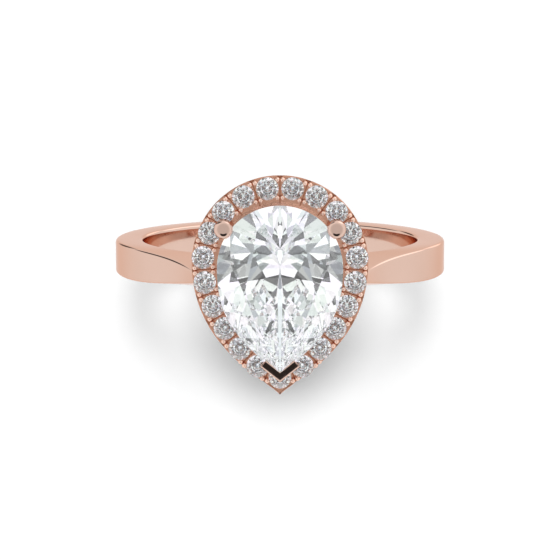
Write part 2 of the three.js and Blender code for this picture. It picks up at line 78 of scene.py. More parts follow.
# ---- Edges that meet more sharply than this stay sharp, in degrees
SHARP_DEG = 32
CLAW_SHARP_DEG = 40

# ---- Stones
GIRDLE = 0.15
CROWN = 0.96
TABLE_SHARE = 0.57
TABLE_CENTRE_SHARE = 0.25  # of the sum of the round end's centre and the point
CULET_SHIFT = 0.05
MELEE_GIRDLE = 0.03
MELEE_CROWN = 0.2
MELEE_TABLE_SHARE = 0.55
MELEE_STAND_OFF = 0.17
MELEE_SHIFT = 0.12
STAR_DROP = 0.42
LOWER_REACH = 0.74
MAINS = 8
TANGENT_STEP = 0.02  # of a main, either side, to find the outline's direction
CENTRE_ARC_STEPS = 8
MELEE_ARC_STEPS = 4
ROOM_ARC_STEPS = 4

# ---- Halo
SEAT_CLEARANCE = 0.03
SEAT_CONE_SHARE = 0.62
SEAT_DRILL = 0.24
SEAT_STEPS = 48
HALO_INSET = 0.3
HALO_THICKNESS = 0.62
HALO_EDGE = 0.06
HALO_EDGE_BEND = 0.3  # of the edge: where its rounding turns
HALO_STEPS = 320
HALO_FLAT = 0.02
HALO_CUT_DOWN = 0.22  # the metal between the beads is cut down this far
BEAD_RADIUS = 0.14
BEAD_STAND_OFF = 0.107
BEAD_PITCH = 0.3
BEAD_OVER_GIRDLE = 0.14
BEAD_DOME_SHARE = 0.9
BEAD_FLAT_SHARE = 0.1
BEAD_RINGS = 6
BEAD_STEPS = 16
GROOVE_WIDTH = 0.07
GROOVE_DEPTH = 0.15
GROOVE_REACH = 1.3  # of the small stones' radius, either side of their line
GROOVE_HEADROOM = 1.0
NOTCH_WIDTH = 0.24
NOTCH_DEPTH = 0.22

# ---- Claws
CLAW_AZIMUTH_DEG = 34.4
CLAW_HEAD_SHIFT = 0.1
CLAW_OUTSET = 0.22
CLAW_WIRE = 0.24
CLAW_HEAD = 0.53
CLAW_BITE = 0.06
CLAW_LEAN = 0.05
CLAW_ROOT = 0.2
CLAW_HEAD_HEIGHT = 0.81
# Distance from the head's axis and slope there in degrees: a nearly flat crown that rolls over at its edge.
CLAW_SLOPES = [(0.2, 0), (0.23, 6), (0.3, 11), (0.37, 18), (0.41, 36), (0.46, 48), (0.5, 65), (0.53, 86)]
CLAW_FLAT_SHARE = 0.05
CLAW_FOOT = 0.09
CLAW_SPLINE_STEPS = 10
CLAW_WIRE_STEPS = 28
CLAW_HEAD_STEPS = 40
V_HALF_DEG = 50
V_OUTSET = 0.43
V_ARM = 1.42
V_WIDTH = 0.5
V_RIM = 0.09
V_RIM_STEPS = 4
V_SLOPE_DEG = 12
V_LEDGE = 0.25
V_LEDGE_LIFT = 0.02
V_STEM_WALL = 0.3
V_STEM_ARM = 0.8
V_LEG = 0.22
V_LEG_RISE = 0.1
V_LEG_STEPS = 16
V_LEG_SIDES = 24

# ---- Rails
BASE_INSET = 1.55
BASE_WIDTH = 0.62
GALLERY_INSET = 0.42
GALLERY_WIDTH = 0.55
RAIL_FILLET = 0.12
RAIL_FILLET_STEPS = 4
RAILS = [  # name, node, inset, width, steps round
    ("rail_base", "base_rail", BASE_INSET, BASE_WIDTH, 160),
    ("rail_gallery", "gallery_rail", GALLERY_INSET, GALLERY_WIDTH, 200),
]


def box_mm(node):
    low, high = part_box(node)
    return low / MM, high / MM


# ---------------------------------------------------------------- camera

def add_camera():
    tilt = math.radians(CAMERA_TILT_DEG)
    to_camera = Vector((0, math.sin(tilt), math.cos(tilt)))
    data = bpy.data.cameras.new("camera")
    data.sensor_width = SENSOR_WIDTH
    data.lens = SENSOR_WIDTH * CAMERA_DISTANCE / VIEW_WIDTH
    data.shift_y = CAMERA_SHIFT
    data.clip_start = 0.01
    data.clip_end = 10.0
    camera = bpy.data.objects.new("camera", data)
    camera.location = CAMERA_DISTANCE * to_camera * MM
    camera.rotation_euler = (-tilt, 0, 0)
    bpy.context.scene.collection.objects.link(camera)
    bpy.context.scene.camera = camera


add_camera()


# ---------------------------------------------------------------- materials

class Nodes:
    """A short way to write a node tree."""

    def __init__(self, tree):
        self.tree = tree
        tree.nodes.clear()

    def add(self, kind, settings=None, **inputs):
        node = self.tree.nodes.new(kind)
        for name, value in (settings or {}).items():
            setattr(node, name, value)
        for name, value in inputs.items():
            self.put(node, name.replace("_", " "), value)
        return node

    def put(self, node, name, value):
        socket = node.inputs[int(name)] if name.isdigit() else node.inputs[name]
        if isinstance(value, bpy.types.NodeSocket):
            self.tree.links.new(value, socket)
        else:
            socket.default_value = value


def material(name):
    made = bpy.data.materials.new(name)
    made.use_nodes = True
    return made, Nodes(made.node_tree)


def ramp(nodes, factor, stops):
    node = nodes.add("ShaderNodeValToRGB", Fac=factor)
    elements = node.color_ramp.elements
    while len(elements) < len(stops):
        elements.new(0.5)
    for element, (position, colour) in zip(elements, stops):
        element.position = position
        element.color = (*colour, 1)
    return node.outputs["Color"]


def metal_shader(nodes, colour, wear, finish):
    """Metal of this colour, with the wear in its roughness and as a very fine bump."""
    rough = nodes.add(
        "ShaderNodeMapRange",
        Value=wear,
        From_Min=WEAR_LOW,
        From_Max=WEAR_HIGH,
        To_Min=finish["smooth"],
        To_Max=finish["rough"],
    ).outputs["Result"]
    relief = nodes.add("ShaderNodeBump", Height=wear, Strength=finish["bump"], Distance=finish["height"])
    shader = nodes.add(
        "ShaderNodeBsdfPrincipled",
        Base_Color=colour,
        Metallic=1.0,
        Roughness=rough,
        Normal=relief.outputs["Normal"],
    )
    nodes.put(shader, "Specular Tint", (*EDGE_TINT, 1))
    nodes.add("ShaderNodeOutputMaterial", Surface=shader.outputs["BSDF"])


def wear_noise(nodes, place, finish):
    noise = nodes.add("ShaderNodeTexNoise", Vector=place, Roughness=WEAR_ROUGHNESS)
    nodes.put(noise, "Scale", finish["grain"])
    nodes.put(noise, "Detail", finish["detail"])
    return noise.outputs["Fac"]


def metal_material(name, low, high, finish):
    """Polished rose gold with a faint drift of colour."""
    made, nodes = material(name)
    place = nodes.add("ShaderNodeTexCoord").outputs["Object"]
    drift = nodes.add("ShaderNodeTexNoise", Vector=place, Scale=DRIFT_SCALE, Detail=3.0).outputs["Fac"]
    wear = wear_noise(nodes, place, finish)
    metal_shader(nodes, ramp(nodes, drift, [(0.3, low), (0.7, high)]), wear, finish)
    return made


def painted_shading_setting_material(name, stops, finish):
    """Metal between close-set stones, with painted shade and a painted highlight set by height: dark and warm
    down in the cuts, paler towards the tops of the beads.
    """
    made, nodes = material(name)
    place = nodes.add("ShaderNodeTexCoord").outputs["Object"]
    height = nodes.add("ShaderNodeSeparateXYZ", Vector=place).outputs["Z"]
    wear = wear_noise(nodes, place, finish)
    # Height alone sets the painted shade in the cuts and the painted highlight on the bead tops.
    rise = nodes.add(
        "ShaderNodeMapRange", Value=height, From_Min=stops[0][0] * MM, From_Max=stops[-1][0] * MM
    ).outputs["Result"]
    drift = nodes.add("ShaderNodeMath", {"operation": "MULTIPLY_ADD"})
    for socket, value in (("0", wear), ("1", SETTING_DRIFT), ("2", rise)):
        nodes.put(drift, socket, value)
    span = stops[-1][0] - stops[0][0]
    shares = [((z - stops[0][0]) / span + SETTING_DRIFT / 2, colour) for z, colour in stops]
    metal_shader(nodes, ramp(nodes, drift.outputs["Value"], shares), wear, finish)
    return made


def diamond_material(name, cell_scale, stops):
    """Clear diamond whose colour changes from cell to cell: a faint tint, and where the stops go dark,
    painted dark flecks that stand in for dark reflections.
    """
    made, nodes = material(name)
    place = nodes.add("ShaderNodeTexCoord").outputs["Object"]
    cells = nodes.add("ShaderNodeTexVoronoi", Vector=place, Scale=cell_scale).outputs["Color"]
    chance = nodes.add("ShaderNodeSeparateColor", Color=cells).outputs["Red"]
    colour = ramp(nodes, chance, stops)
    shader = nodes.add("ShaderNodeBsdfPrincipled", Base_Color=colour, Roughness=0.0, IOR=DIAMOND_IOR)
    nodes.put(shader, "Transmission Weight", 1.0)
    nodes.add("ShaderNodeOutputMaterial", Surface=shader.outputs["BSDF"])
    return made


EDGE_TINT = (0.86, 0.66, 0.57)
ROSE_LOW = (0.755, 0.532, 0.439)
ROSE_HIGH = (0.795, 0.564, 0.472)
DRIFT_SCALE = 260.0
WEAR_LOW = 0.35
WEAR_HIGH = 0.65
WEAR_ROUGHNESS = 0.7
# Roughness from smooth to rough, scale and detail of the wear, and strength and height in metres of its bump.
POLISHED_FINISH = {
    "smooth": 0.05, "rough": 0.11, "grain": 5200.0,
    "detail": 6.0, "bump": 0.04, "height": 2e-6,
}
SETTING_FINISH = {
    "smooth": 0.1, "rough": 0.22, "grain": 9000.0,
    "detail": 5.0, "bump": 0.15, "height": 4e-6,
}
POLISHED = metal_material("rose_gold_polished", ROSE_LOW, ROSE_HIGH, POLISHED_FINISH)
SETTING_DRIFT = 0.3
# Painted shade and painted highlight of the halo's metal, by height: dark down in the cuts, warm at the
# cut-down floor, pale at the bead tops.
SETTING_PAINTED_SHADE = (0.45, 0.19, 0.11)
SETTING_WARM = (0.82, 0.48, 0.35)
SETTING_PAINTED_HIGHLIGHT = (0.95, 0.67, 0.55)
SETTING_PAINTED_SHADE_UNDER = 0.15  # below the cut-down floor of the halo, where the painted shade is darkest
SETTING_WARM_OVER = 0.1  # above it
DIAMOND_IOR = 2.417
CENTRE_CELLS = 900.0
MELEE_CELLS = 6500.0
CENTRE_TINTS = [(0.0, (0.96, 0.97, 1.0)), (0.5, (1.0, 1.0, 1.0)), (1.0, (0.97, 1.0, 0.99))]
# Faint tints of the small stones; the dark stops at the low end are painted dark flecks, standing in for dark
# reflections.
MELEE_TINTS_AND_PAINTED_FLECKS = [
    (0.0, (0.5, 0.55, 0.62)),
    (0.08, (0.62, 0.68, 0.76)),
    (0.11, (0.93, 0.98, 1.0)),
    (0.6, (0.98, 1.0, 1.0)),
    (1.0, (0.98, 0.96, 1.0)),
]
CENTRE_DIAMOND = diamond_material("diamond_centre", CENTRE_CELLS, CENTRE_TINTS)
MELEE_DIAMOND_PAINTED_FLECKS = diamond_material("diamond_melee", MELEE_CELLS, MELEE_TINTS_AND_PAINTED_FLECKS)


# ---------------------------------------------------------------- mesh helpers

def mesh_object(name, verts, faces):
    """An object from millimetre corners, its faces turned to face out."""
    data = bpy.data.meshes.new(name)
    data.from_pydata([tuple(Vector(v) * MM) for v in verts], [], faces)
    work = bmesh.new()
    work.from_mesh(data)
    bmesh.ops.remove_doubles(work, verts=work.verts, dist=1e-8)
    bmesh.ops.recalc_face_normals(work, faces=work.faces)
    work.to_mesh(data)
    work.free()
    made = bpy.data.objects.new(name, data)
    bpy.context.scene.collection.objects.link(made)
    return made


def merged(name, parts):
    """One object from several (verts, faces) shells."""
    verts, faces = [], []
    for part_verts, part_faces in parts:
        start = len(verts)
        verts.extend(part_verts)
        faces.extend([tuple(start + i for i in face) for face in part_faces])
    return mesh_object(name, verts, faces)


def minus(target, cutters):
    """Cuts the cutters out of the target, and deletes them."""
    for cutter in cutters:
        modifier = target.modifiers.new("cut", "BOOLEAN")
        modifier.operation = "DIFFERENCE"
        modifier.solver = "EXACT"
        modifier.use_self = True
        modifier.object = cutter
    bpy.context.view_layer.update()
    graph = bpy.context.evaluated_depsgraph_get()
    result = bpy.data.meshes.new_from_object(target.evaluated_get(graph))
    target.modifiers.clear()
    target.data = result
    for cutter in cutters:
        bpy.data.objects.remove(cutter)
    return target


def smooth_by_angle(obj, degrees):
    work = bmesh.new()
    work.from_mesh(obj.data)
    limit = math.radians(degrees)
    for face in work.faces:
        face.smooth = True
    for edge in work.edges:
        edge.smooth = edge.calc_face_angle(0.0) < limit
    work.to_mesh(obj.data)
    work.free()


def dress(obj, look, slot, *nodes):
    obj.visible_transmission = look in (CENTRE_DIAMOND, MELEE_DIAMOND_PAINTED_FLECKS)
    obj.data.materials.clear()
    obj.data.materials.append(look)
    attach(obj, "root")
    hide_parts(*nodes)


def loops_shell(loops, closed=True):
    """A shell through loops of equally many corners: closed into a ring, or else with both ends capped."""
    count = len(loops[0])
    verts = [v for loop in loops for v in loop]
    faces = []
    spans = len(loops) if closed else len(loops) - 1
    for i in range(spans):
        a, b = i * count, ((i + 1) % len(loops)) * count
        for k in range(count):
            m = (k + 1) % count
            faces.append((a + k, a + m, b + m, b + k))
    if not closed:
        last = (len(loops) - 1) * count
        faces.append(tuple(reversed(range(count))))
        faces.append(tuple(last + k for k in range(count)))
    return verts, faces


def lathe(profile, steps, x=0.0, y=0.0):
    """A shell turned about the vertical through (x, y), from (radius, z) pairs that stay off the axis."""
    loops = []
    for radius, z in profile:
        turns = [2 * math.pi * k / steps for k in range(steps)]
        loops.append([Vector((x + radius * math.cos(t), y + radius * math.sin(t), z)) for t in turns])
    return loops_shell(loops, closed=False)


def tube(points, radius, steps):
    """A round wire along points in one upright plane."""
    plane = (points[-1] - points[0]).cross(points[len(points) // 2] - points[0])
    if plane.length < 1e-6:
        plane = (points[-1] - points[0]).orthogonal()
    plane.normalize()
    loops = []
    for i, point in enumerate(points):
        along = points[min(i + 1, len(points) - 1)] - points[max(i - 1, 0)]
        across = plane.cross(along).normalized()
        ring = [2 * math.pi * k / steps for k in range(steps)]
        loops.append([point + radius * (math.cos(t) * across + math.sin(t) * plane) for t in ring])
    return loops_shell(loops, closed=False)


def bezier(corners, share):
    """A point of the quadratic or cubic curve with these corners."""
    points = list(corners)
    while len(points) > 1:
        points = [a.lerp(b, share) for a, b in zip(points, points[1:])]
    return points[0]


def spline(knots, steps):
    """A smooth line through the knots, steps points to each span."""
    line = []
    for i in range(len(knots) - 1):
        a, b = knots[max(i - 1, 0)], knots[i]
        c, d = knots[i + 1], knots[min(i + 2, len(knots) - 1)]
        for k in range(steps + (i == len(knots) - 2)):
            t = k / steps
            second, third = 2 * a - 5 * b + 4 * c - d, 3 * b - a - 3 * c + d
            line.append(0.5 * (2 * b + (c - a) * t + second * t ** 2 + third * t ** 3))
    return line


# ---------------------------------------------------------------- pear outlines

class Pear:
    """A pear outline: a round end, and flanks whose two handles are shares of their length."""

    DIVISIONS = 240

    def __init__(self, radius, centre_y, tip_y, flank, point, tip_half_deg):
        self.radius, self.centre_y, self.tip_y = radius, centre_y, tip_y
        self.flank, self.point, self.tip_half_deg = flank, point, tip_half_deg
        length = centre_y - tip_y
        angle = math.radians(tip_half_deg)
        flank_line = [
            Vector((radius, centre_y)),
            Vector((radius, centre_y - flank * length)),
            Vector((point * length * math.sin(angle), tip_y + point * length * math.cos(angle))),
            Vector((0, tip_y)),
        ]
        turns = [math.pi / 2 * (1 - i / self.DIVISIONS) for i in range(self.DIVISIONS)]
        self.line = [Vector((radius * math.cos(t), centre_y + radius * math.sin(t))) for t in turns]
        self.line += [bezier(flank_line, i / self.DIVISIONS) for i in range(self.DIVISIONS + 1)]
        self.lengths = [0.0]
        for a, b in zip(self.line, self.line[1:]):
            self.lengths.append(self.lengths[-1] + (b - a).length)

    def inset(self, amount):
        tip = amount / math.sin(math.radians(self.tip_half_deg))
        return Pear(
            self.radius - amount, self.centre_y, self.tip_y + tip, self.flank, self.point, self.tip_half_deg
        )

    def at(self, share):
        """The point at a share of the way round, clockwise from the middle of the round end."""
        turn = share % 1.0
        wanted = 2 * min(turn, 1 - turn) * self.lengths[-1]
        low, high = 0, len(self.lengths) - 1
        while high - low > 1:
            middle = (low + high) // 2
            low, high = (middle, high) if self.lengths[middle] <= wanted else (low, middle)
        span = self.lengths[high] - self.lengths[low]
        found = self.line[low].lerp(self.line[high], (wanted - self.lengths[low]) / span)
        return Vector((-found.x if turn > 0.5 else found.x, found.y))

    def loop(self, steps, z):
        return [self.at(-i / steps).to_3d() + Vector((0, 0, z)) for i in range(steps)]


stone_low, stone_high = box_mm("centre_stone")
STONE = Pear(stone_high.x, stone_high.y - stone_high.x, stone_low.y, 0.49, 0.5, 50)
TABLE_Z = stone_high.z
CULET_Z = stone_low.z
STONE_GIRDLE_Z = TABLE_Z - CROWN - GIRDLE

MELEE = []
for index in range(1, 1 + sum(name.startswith("melee_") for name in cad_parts)):
    node = f"melee_{index:02d}"
    low, high = box_mm(node)
    MELEE.append({"node": node, "at": ((low + high) / 2).to_2d(), "low": low.z, "high": high.z})
MELEE_GIRDLE_Z = MELEE[0]["high"] - MELEE_CROWN - MELEE_GIRDLE
MELEE_PAVILION = MELEE_GIRDLE_Z - MELEE[0]["low"]
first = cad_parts["melee_01"].data.vertices
MELEE_RADIUS = max((v.co.to_2d() / MM - MELEE[0]["at"]).length for v in first)

MELEE_TIP_Y = min(stone["at"].y for stone in MELEE)
MELEE_LINE = Pear(
    STONE.radius + MELEE_STAND_OFF + MELEE_RADIUS, STONE.centre_y + MELEE_SHIFT, MELEE_TIP_Y, 0.416, 0.24, 85
)

halo_low, halo_high = box_mm("halo")
HALO_BOTTOM = halo_low.z
HALO_TOP = HALO_BOTTOM + HALO_THICKNESS
HALO_FLOOR = HALO_TOP - HALO_CUT_DOWN
# The halo's metal: painted shade low in the cuts, painted highlight at the bead tops.
SETTING_PAINTED_SHADING = painted_shading_setting_material(
    "rose_gold_setting",
    [
        (HALO_FLOOR - SETTING_PAINTED_SHADE_UNDER, SETTING_PAINTED_SHADE),
        (HALO_FLOOR + SETTING_WARM_OVER, SETTING_WARM),
        (halo_high.z, SETTING_PAINTED_HIGHLIGHT),
    ],
    SETTING_FINISH,
)


# ---------------------------------------------------------------- stones

def crossing(a, along_a, b, along_b):
    cross = along_a.x * along_b.y - along_a.y * along_b.x
    t = ((b.x - a.x) * along_b.y - (b.y - a.y) * along_b.x) / cross
    return a + t * along_a


def main_corners(outline, inner, girdle_z, inner_z, corner_z):
    share = (corner_z - girdle_z) / (inner_z - girdle_z)
    mains = []
    for i in range(MAINS):
        along = outline((i + TANGENT_STEP) / MAINS) - outline((i - TANGENT_STEP) / MAINS)
        mains.append((outline(i / MAINS).lerp(inner[i], share), along))
    corners = []
    for (a, along_a), (b, along_b) in zip(mains, mains[1:] + mains[:1]):
        meet = crossing(a, along_a, b, along_b)
        corners.append(Vector((meet.x, meet.y, corner_z)))
    return corners


def girdle_arc(outline, start_share, end_share, steps, z, corner):
    """The girdle edge between two girdle corners, kept on the plane of the half facet inside it."""
    start, end = outline(start_share).to_3d(), outline(end_share).to_3d()
    start.z = end.z = z
    normal = (end - start).cross(corner - start)
    arc = []
    for k in range(steps + 1):
        at = outline(start_share + (end_share - start_share) * k / steps)
        height = z
        if 0 < k < steps:
            height = start.z - (normal.x * (at.x - start.x) + normal.y * (at.y - start.y)) / normal.z
        arc.append(Vector((at.x, at.y, height)))
    return arc


def brilliant(outline, centre, culet, table_share, girdle_z, girdle, crown, pavilion, arc_steps):
    """A brilliant: table, stars, mains and halves over the girdle, mains and halves under it."""
    top_z = girdle_z + girdle
    table_z = top_z + crown
    culet_z = girdle_z - pavilion
    table = [(centre + (outline(i / MAINS) - centre) * table_share).to_3d() for i in range(MAINS)]
    for corner in table:
        corner.z = table_z
    bottom = Vector((culet.x, culet.y, culet_z))
    flat_table = [corner.to_2d() for corner in table]
    stars = main_corners(outline, flat_table, top_z, table_z, table_z - STAR_DROP * crown)
    lowers = main_corners(outline, [culet] * MAINS, girdle_z, culet_z, girdle_z - LOWER_REACH * pavilion)
    verts, faces = [], []

    def face(*corners):
        start = len(verts)
        verts.extend(corners)
        faces.append(tuple(range(start, start + len(corners))))

    face(*reversed(table))
    for i in range(MAINS):
        following, before = (i + 1) % MAINS, (i - 1) % MAINS
        here = outline(i / MAINS)
        over, under = Vector((here.x, here.y, top_z)), Vector((here.x, here.y, girdle_z))
        face(table[i], table[following], stars[i])
        face(over, stars[before], table[i], stars[i])
        face(under, lowers[i], bottom, lowers[before])
        for start, end in ((i, i + 0.5), (i + 0.5, i + 1)):
            upper = girdle_arc(outline, start / MAINS, end / MAINS, arc_steps, top_z, stars[i])
            lower = girdle_arc(outline, start / MAINS, end / MAINS, arc_steps, girdle_z, lowers[i])
            face(stars[i], *reversed(upper))
            face(lowers[i], *lower)
            for k in range(arc_steps):
                face(lower[k], upper[k], upper[k + 1], lower[k + 1])
    return verts, faces


def centre_brilliant(grow, arc_steps):
    pear = STONE.inset(-grow)
    return brilliant(
        outline=pear.at,
        centre=Vector((0, (STONE.centre_y + STONE.tip_y) * TABLE_CENTRE_SHARE)),
        culet=Vector((0, STONE.centre_y + CULET_SHIFT)),
        table_share=TABLE_SHARE,
        girdle_z=STONE_GIRDLE_Z - grow,
        girdle=GIRDLE + 2 * grow,
        crown=CROWN,
        pavilion=STONE_GIRDLE_Z - CULET_Z,
        arc_steps=arc_steps,
    )


def stone_room():
    """The centre stone with its clearance, to cut out of the metal round it."""
    return mesh_object("stone_room", *centre_brilliant(SEAT_CLEARANCE, ROOM_ARC_STEPS))


def melee_brilliant(steps):
    def outline(share):
        angle = math.pi / 2 - 2 * math.pi * share
        return Vector((MELEE_RADIUS * math.cos(angle), MELEE_RADIUS * math.sin(angle)))

    return brilliant(
        outline=outline,
        centre=Vector((0, 0)),
        culet=Vector((0, 0)),
        table_share=MELEE_TABLE_SHARE,
        girdle_z=0.0,
        girdle=MELEE_GIRDLE,
        crown=MELEE_CROWN,
        pavilion=MELEE_PAVILION,
        arc_steps=steps,
    )


def melee_line(index):
    """The outline's direction at a melee stone, clockwise, from its two neighbours."""
    before, after = MELEE[index - 1]["at"], MELEE[(index + 1) % len(MELEE)]["at"]
    return (after - before).normalized()


def add_stones():
    centre = mesh_object("pear_diamond", *centre_brilliant(0, CENTRE_ARC_STEPS))
    dress(centre, CENTRE_DIAMOND, "centre_diamond", "centre_stone")
    shared = mesh_object("melee_pattern", *melee_brilliant(MELEE_ARC_STEPS))
    for index, stone in enumerate(MELEE):
        made = bpy.data.objects.new(f"halo_diamond_{index + 1:02d}", shared.data.copy())
        bpy.context.scene.collection.objects.link(made)
        along = melee_line(index)
        turn = Matrix.Rotation(math.atan2(along.y, along.x), 4, "Z")
        place = Matrix.Translation(Vector((*stone["at"], MELEE_GIRDLE_Z)) * MM)
        made.data.transform(place @ turn)
        dress(made, MELEE_DIAMOND_PAINTED_FLECKS, "melee_diamond", stone["node"])
    bpy.data.objects.remove(shared)


# ---------------------------------------------------------------- shank

shank_low, shank_high = box_mm("shank")
rail_low, rail_high = box_mm("base_rail")
SHANK_RADIUS = -shank_low.z
SHANK_WIDTH = shank_high.y - shank_low.y
SEAT_Z = rail_low.z - JOINT_GAP
FINGER_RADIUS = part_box("shank")[1].x / MM - SHANK_THICKNESS


def shoulder_end():
    """Where a shoulder's ridge meets the halo: angle in degrees, distance from the finger's axis, and x."""
    x, z = halo_high.x - RIDGE_INSET, HALO_BOTTOM + SHOULDER_REACH
    return math.degrees(math.atan2(z, x)), math.hypot(x, z), x


def shank_section(angle):
    end_deg, end_radius, _ = shoulder_end()
    flank = math.degrees(math.asin(math.sin(angle)))
    rise = min(1, max(0, 1 - (end_deg - flank) / SHOULDER_RISE_DEG))
    taper = min(1, max(0, 1 - (end_deg - flank) / SHOULDER_TAPER_DEG))
    outer = SHANK_RADIUS + (end_radius - SHANK_RADIUS) * rise ** RISE_POWER
    half = SHANK_WIDTH / 2 - (SHANK_WIDTH / 2 - RIDGE_WIDTH / 2) * taper ** TAPER_POWER
    corners = [
        Vector((FINGER_RADIUS, -SHANK_WIDTH / 2)),
        Vector((outer, -half)),
        Vector((outer, half)),
        Vector((FINGER_RADIUS, SHANK_WIDTH / 2)),
    ]
    section = []
    for i, corner in enumerate(corners):
        setback = min(SHANK_FILLET, FILLET_LIMIT * half) if i in (1, 2) else SHANK_FILLET
        before, after = corners[i - 1], corners[(i + 1) % 4]
        start = corner + (before - corner).normalized() * setback
        end = corner + (after - corner).normalized() * setback
        section += [bezier((start, corner, end), k / FILLET_STEPS) for k in range(FILLET_STEPS + 1)]
    return section


def head_well():
    """The room under the head: the windows behind the shoulders, down to the flat seat."""
    end_deg, _, end_x = shoulder_end()
    top_z = HALO_BOTTOM - JOINT_GAP
    high_z = top_z + WELL_HEADROOM
    foot = math.radians(end_deg - ARCH_FOOT_DEG)
    foot_at = Vector((math.cos(foot), math.sin(foot))) * SEAT_Z * ARCH_FOOT_SHARE
    neck = Vector((end_x - SHOULDER_TOP, top_z))
    wall = Vector((neck.x + ARCH_BOW[0], SEAT_Z + ARCH_BOW[1]))
    seat_x = STONE.radius - BASE_INSET + SEAT_MARGIN
    floor = Vector((seat_x + FLOOR_BOW[0], SEAT_Z - FLOOR_BOW[1]))
    half = [Vector((SHANK_RADIUS, high_z)), Vector((SHANK_RADIUS, top_z))]
    half += [bezier((neck, wall, foot_at), k / ARCH_STEPS) for k in range(ARCH_STEPS + 1)]
    seat_end = Vector((seat_x, SEAT_Z))
    half += [bezier((foot_at, floor, seat_end), k / ARCH_STEPS) for k in range(1, ARCH_STEPS + 1)]
    outline = half + [Vector((-p.x, p.y)) for p in reversed(half)]
    loops = [[Vector((p.x, y, p.y)) for p in outline] for y in (-SHANK_WIDTH, SHANK_WIDTH)]
    return mesh_object("head_well", *loops_shell(loops, closed=False))


def add_shank():
    loops = []
    for i in range(SHANK_STEPS):
        angle = 2 * math.pi * (i + 0.5) / SHANK_STEPS
        section = shank_section(angle)
        loops.append([Vector((p.x * math.cos(angle), p.y, p.x * math.sin(angle))) for p in section])
    band = mesh_object("band", *loops_shell(loops))
    minus(band, [head_well()])
    smooth_by_angle(band, SHARP_DEG)
    dress(band, POLISHED, "rose_gold", "shank")


# ---------------------------------------------------------------- rails

def rounded_ring(outer_inset, width, low_z, high_z, fillet, steps):
    """A pear-shaped rail with rounded corners, as loops from the stone's outline."""
    corners = [
        Vector((outer_inset, low_z)),
        Vector((outer_inset, high_z)),
        Vector((outer_inset + width, high_z)),
        Vector((outer_inset + width, low_z)),
    ]
    loops = []
    for i, corner in enumerate(corners):
        before, after = corners[i - 1], corners[(i + 1) % 4]
        start = corner + (before - corner).normalized() * fillet
        end = corner + (after - corner).normalized() * fillet
        for k in range(RAIL_FILLET_STEPS + 1):
            at = bezier((start, corner, end), k / RAIL_FILLET_STEPS)
            loops.append(STONE.inset(at.x).loop(steps, at.y))
    return loops_shell(loops)


def add_rails():
    for name, node, inset, width, steps in RAILS:
        bottom, top = box_mm(node)
        made = mesh_object(name, *rounded_ring(inset, width, bottom.z, top.z, RAIL_FILLET, steps))
        smooth_by_angle(made, SHARP_DEG)
        dress(made, POLISHED, "rose_gold", node)


# ---------------------------------------------------------------- halo

HALO_RIM = Pear(halo_high.x, halo_high.y - halo_high.x, halo_low.y, 0.64, 0.145, 40)


def melee_gaps():
    """The gap after each melee stone: middle, directions along and outward, and half the stones' pitch."""
    gaps = []
    for index, stone in enumerate(MELEE):
        other = MELEE[(index + 1) % len(MELEE)]
        along = (other["at"] - stone["at"]).normalized()
        middle = (stone["at"] + other["at"]) / 2
        gaps.append((middle, along, Vector((-along.y, along.x)), (other["at"] - middle).length))
    return gaps


def melee_seats():
    radius = MELEE_RADIUS + SEAT_CLEARANCE
    drill_z = HALO_BOTTOM - MELEE_GIRDLE_Z - HALO_THICKNESS
    profile = [
        (SEAT_DRILL, drill_z),
        (SEAT_DRILL, -MELEE_PAVILION * SEAT_CONE_SHARE),
        (radius, -SEAT_CLEARANCE),
        (radius, MELEE_GIRDLE + MELEE_CROWN + BEAD_OVER_GIRDLE),
    ]
    parts = []
    for stone in MELEE:
        turned = [(r, z + MELEE_GIRDLE_Z) for r, z in profile]
        parts.append(lathe(turned, SEAT_STEPS, stone["at"].x, stone["at"].y))
    return merged("seats", parts)


def grooves():
    """A narrow cut across the halo at each gap, wider at its outer end."""
    reach = GROOVE_REACH * MELEE_RADIUS
    half = GROOVE_WIDTH / 2
    mouth = MELEE_RADIUS - NOTCH_DEPTH
    wide = NOTCH_WIDTH / 2 * (reach - mouth) / NOTCH_DEPTH
    corners = [(-reach, -half), (mouth, -half), (reach, -wide), (reach, wide), (mouth, half), (-reach, half)]
    parts = []
    for middle, along, outward, _ in melee_gaps():
        loops = []
        for z in (HALO_FLOOR - GROOVE_DEPTH, HALO_TOP + GROOVE_HEADROOM):
            flat = [middle + outward * r + along * s for r, s in corners]
            loops.append([Vector((p.x, p.y, z)) for p in flat])
        parts.append(loops_shell(loops, closed=False))
    return merged("grooves", parts)


def bead_places():
    places = []
    claws = [claw_at(-1), claw_at(1)]
    for middle, along, outward, gap_half in melee_gaps():
        reach = math.sqrt((MELEE_RADIUS + BEAD_STAND_OFF) ** 2 - (gap_half - BEAD_PITCH / 2) ** 2)
        for across in (-reach, reach):
            for side in (-BEAD_PITCH / 2, BEAD_PITCH / 2):
                at = middle + outward * across + along * side
                if all((at - claw).length > CLAW_HEAD + BEAD_RADIUS for claw in claws):
                    places.append(at)
    return places


def bead(at):
    top = MELEE_GIRDLE_Z + BEAD_OVER_GIRDLE
    dome = BEAD_DOME_SHARE * BEAD_RADIUS
    profile = [(BEAD_RADIUS, HALO_BOTTOM + HALO_EDGE)]
    for k in range(BEAD_RINGS):
        angle = math.pi / 2 * k / BEAD_RINGS
        profile.append((BEAD_RADIUS * math.cos(angle), top - dome + dome * math.sin(angle)))
    profile.append((BEAD_FLAT_SHARE * BEAD_RADIUS, top))
    return lathe(profile, BEAD_STEPS, at.x, at.y)


